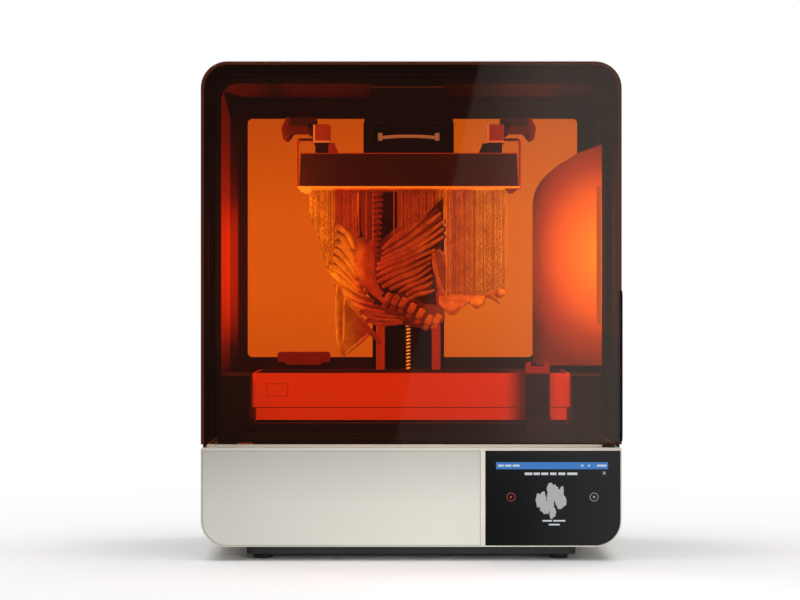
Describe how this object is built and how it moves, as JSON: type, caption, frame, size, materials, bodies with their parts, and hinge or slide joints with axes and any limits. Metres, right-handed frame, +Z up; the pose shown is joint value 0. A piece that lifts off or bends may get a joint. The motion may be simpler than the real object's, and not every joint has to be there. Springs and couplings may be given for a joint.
{
  "type": "resin 3d printer",
  "caption": "Large desktop resin printer: amber tilting hood over an orange tank, Z tower, build platform with flip levers, mixer, touch screen base and rear cartridge bay.",
  "frame": {"origin": "on the floor, under the middle of the machine", "axes": "+Z is up, -Y is the front with the screen, +X is to the right seen from the front"},
  "size_m": [0.6694, 0.528, 0.788],
  "materials": {
    "beige_shell": "satin",
    "fascia_beige": "satin",
    "black_glass": "gloss",
    "charcoal_plastic": "matt",
    "black_plastic": "satin",
    "rubber_black": "matt",
    "amber_clear": "gloss",
    "amber_window": "gloss",
    "liner_dark": "satin",
    "black_metal": "satin",
    "tank_orange": "satin",
    "film_clear": "gloss",
    "steel": "brushed",
    "bright_steel": "polished",
    "spring_steel": "satin",
    "platform_metal": "satin",
    "lever_red": "satin",
    "bay_orange": "satin",
    "board_green": "satin",
    "aluminium_bare": "satin",
    "resin_print": "satin",
    "cartridge_grey": "satin",
    "belt_black": "matt",
    "light_strip": "gloss"
  },
  "bodies": {
    "chassis": {"base_shell": "beige_shell", "front_fascia": "fascia_beige", "screen_glass": "black_glass", "hand_holds": "charcoal_plastic", "plinth": "charcoal_plastic", "rubber_feet": "rubber_black", "base_rim": "beige_shell", "lid_bumper": "rubber_black", "deck": "black_metal", "deck_cheeks": "black_plastic", "light_housing": "black_metal", "mask_display": "black_glass", "led_array": "board_green", "heat_sink": "aluminium_bare", "fan_frame": "black_plastic", "power_supply": "aluminium_bare", "main_board": "board_green", "mains_inlet": "black_plastic", "data_ports": "steel", "rear_housing": "charcoal_plastic", "chamber_liner": "liner_dark", "rear_window": "amber_window", "bay_cover": "bay_orange", "cartridge_dock": "charcoal_plastic", "chamber_light": "light_strip", "level_sensor": "lever_red", "z_tower": "black_metal", "z_rails": "steel", "z_motor": "black_metal", "screw_bearings": "black_metal", "resin_tank": "tank_orange", "tank_film": "film_clear", "mixer_rail": "steel", "mixer_belt": "belt_black", "mixer_motor": "black_metal", "hinge_rear": "steel"},
    "lid": {"lid_shell": "amber_clear", "lid_frame": "black_plastic", "lid_grip": "black_plastic", "hinge_lid": "steel"},
    "z_carriage": {"carriage_plate": "black_metal", "carriage_bearings": "steel", "platform_holder": "black_metal", "platform_body": "platform_metal", "flex_plate": "spring_steel", "release_brackets": "black_metal", "print_supports": "resin_print", "print_model": "resin_print"},
    "z_screw": {"z_screw": "bright_steel"},
    "mixer": {"mixer_arm": "black_metal", "mixer_blade": "black_plastic"},
    "drive_pulley": {"drive_pulley": "aluminium_bare"},
    "idler_pulley": {"idler_pulley": "aluminium_bare"},
    "lock_lever": {"lock_lever": "bright_steel"},
    "release_lever_left": {"release_lever_left": "lever_red"},
    "release_lever_right": {"release_lever_right": "lever_red"},
    "fan_rotor": {"fan_rotor": "charcoal_plastic"},
    "power_rocker": {"power_rocker": "charcoal_plastic"},
    "cartridge_inner": {"cartridge_inner": "cartridge_grey"},
    "cartridge_outer": {"cartridge_outer": "cartridge_grey"}
  },
  "joints": [
    {"name": "lid_hinge", "type": "hinge", "parent": "chassis", "child": "lid", "pos_m": [0, 0.06, 0.785], "axis": [-1, 0, 0], "range_deg": [0, 75]},
    {"name": "z_slide", "type": "slide", "parent": "chassis", "child": "z_carriage", "axis": [0, 0, 1], "range_m": [-0.354, 0], "deforming": ["print_supports", "print_model"]},
    {"name": "screw_spin", "type": "hinge", "parent": "chassis", "child": "z_screw", "pos_m": [-0.0035, 0.15, 0.45], "axis": [0, 0, 1], "range_deg": [-15935, 5]},
    {"name": "mixer_slide", "type": "slide", "parent": "chassis", "child": "mixer", "axis": [1, 0, 0], "range_m": [-0.43, 0]},
    {"name": "drive_spin", "type": "hinge", "parent": "chassis", "child": "drive_pulley", "pos_m": [0.264, -0.23, 0.193], "axis": [0, 0, 1], "range_deg": [-5, 2545]},
    {"name": "idler_spin", "type": "hinge", "parent": "chassis", "child": "idler_pulley", "pos_m": [-0.264, -0.23, 0.193], "axis": [0, 0, 1], "range_deg": [-5, 2545]},
    {"name": "lock_hinge", "type": "hinge", "parent": "z_carriage", "child": "lock_lever", "pos_m": [-0.0035, -0.076, 0.699], "axis": [-1, 0, 0], "range_deg": [0, 95]},
    {"name": "release_left_hinge", "type": "hinge", "parent": "z_carriage", "child": "release_lever_left", "pos_m": [-0.146, -0.047, 0.681], "axis": [0, 1, 0], "range_deg": [0, 40]},
    {"name": "release_right_hinge", "type": "hinge", "parent": "z_carriage", "child": "release_lever_right", "pos_m": [0.139, -0.047, 0.681], "axis": [0, -1, 0], "range_deg": [0, 40]},
    {"name": "fan_spin", "type": "hinge", "parent": "chassis", "child": "fan_rotor", "pos_m": [-0.0035, -0.047, 0.063], "axis": [0, 0, 1], "continuous": true},
    {"name": "rocker_hinge", "type": "hinge", "parent": "chassis", "child": "power_rocker", "pos_m": [0.276, 0.258, 0.074], "axis": [1, 0, 0], "range_deg": [-9, 0]},
    {"name": "cartridge_inner_slide", "type": "slide", "parent": "chassis", "child": "cartridge_inner", "axis": [0, 1, 0], "range_m": [0, 0.2]},
    {"name": "cartridge_outer_slide", "type": "slide", "parent": "chassis", "child": "cartridge_outer", "axis": [0, 1, 0], "range_m": [0, 0.2]}
  ],
  "couplings": [
    {"joint": "screw_spin", "follows": "z_slide", "rad_per_m": 785.4},
    {"joint": "drive_spin", "follows": "mixer_slide", "rad_per_m": -103.09},
    {"joint": "idler_spin", "follows": "mixer_slide", "rad_per_m": -103.09}
  ]
}
